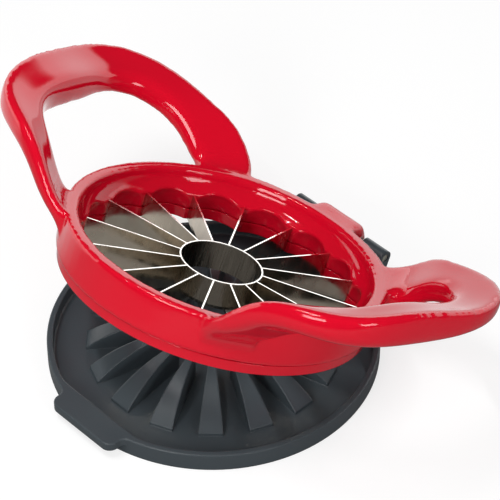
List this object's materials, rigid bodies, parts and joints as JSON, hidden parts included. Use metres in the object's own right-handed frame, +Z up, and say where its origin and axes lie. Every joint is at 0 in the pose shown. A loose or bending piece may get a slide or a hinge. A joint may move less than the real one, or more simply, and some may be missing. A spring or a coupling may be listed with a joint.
{
  "type": "apple slicer and corer",
  "caption": "Push-down apple slicer and corer: round frame with two raised loop handles, radial blades and a corer tube, hinged to a shallow base with prongs.",
  "frame": {"origin": "centre of the base's underside, on the table", "axes": "+Z up; the finger tab points to -Y and the hinge lies along X at the back, +Y; the loop handles point to +X and -X"},
  "size_m": [0.1814, 0.1239, 0.0791],
  "materials": {
    "frame_plastic": "glossy red ABS",
    "base_plastic": "satin dark grey plastic",
    "blade_steel": "polished stainless steel",
    "pin_steel": "plain steel pin"
  },
  "bodies": {
    "base": {"base_tray": "base_plastic", "hinge_pin": "pin_steel"},
    "head": {"handle_frame": "frame_plastic", "retaining_ring": "frame_plastic", "corer_tube": "blade_steel", "blade_01": "blade_steel", "blade_02": "blade_steel", "blade_03": "blade_steel", "blade_04": "blade_steel", "blade_05": "blade_steel", "blade_06": "blade_steel", "blade_07": "blade_steel", "blade_08": "blade_steel", "blade_09": "blade_steel", "blade_10": "blade_steel", "blade_11": "blade_steel", "blade_12": "blade_steel", "blade_13": "blade_steel", "blade_14": "blade_steel", "blade_15": "blade_steel", "blade_16": "blade_steel"}
  },
  "joints": [
    {"name": "frame_hinge", "type": "hinge", "parent": "base", "child": "head", "pos_m": [0, 0.061, 0.0146], "axis": [-1, 0, 0], "range_deg": [-20.4, 87.6]}
  ]
}
